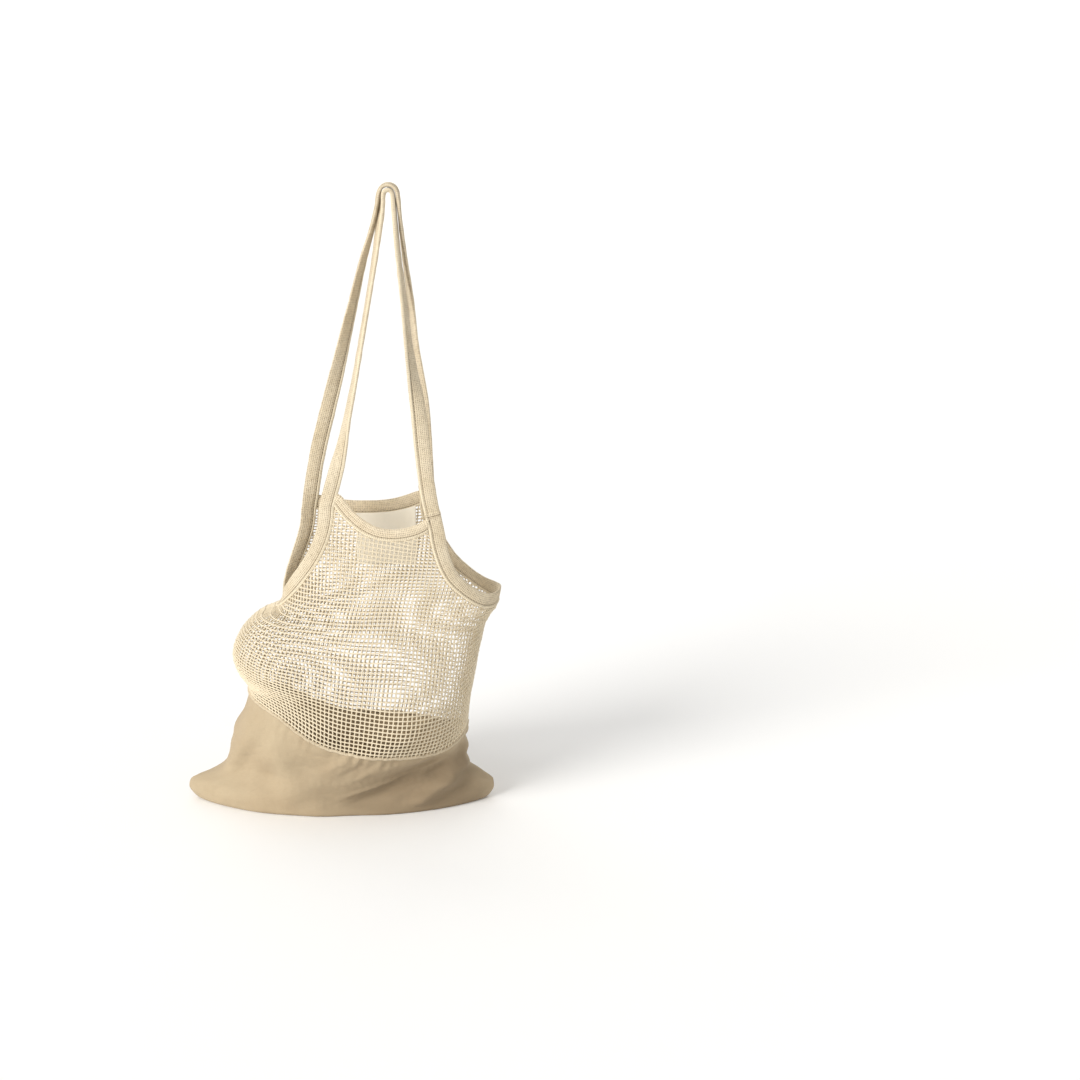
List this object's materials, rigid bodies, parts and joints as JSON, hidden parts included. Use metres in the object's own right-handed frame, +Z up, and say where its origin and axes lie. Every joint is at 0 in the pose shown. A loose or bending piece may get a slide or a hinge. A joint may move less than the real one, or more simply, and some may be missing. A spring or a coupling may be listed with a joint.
{
  "type": "string shopping bag with cotton base",
  "caption": "Net shopping bag with knitted shoulder loops, bound armholes and a woven base, in the form it has when full.",
  "frame": {"origin": "where a hook carries both loops, under their top bends", "axes": "+Z up, +X to the right as the picture shows the front, -Y out of the bag's front"},
  "size_m": [0.3072, 0.1647, 0.5986],
  "materials": {
    "net_cotton": "undyed cotton net",
    "calico": "plain woven undyed cotton",
    "tape_cotton": "folded knitted cotton tape",
    "label_cloth": "smooth woven cotton, blank"
  },
  "bodies": {
    "root": {"net_front": "net_cotton", "net_back": "net_cotton", "rolled_seam": "calico", "base_pouch": "calico", "neck_tape_front": "tape_cotton", "neck_tape_back": "tape_cotton", "armhole_tape_right": "tape_cotton", "shoulder_strap": "tape_cotton", "neck_label": "label_cloth"}
  },
  "joints": []
}
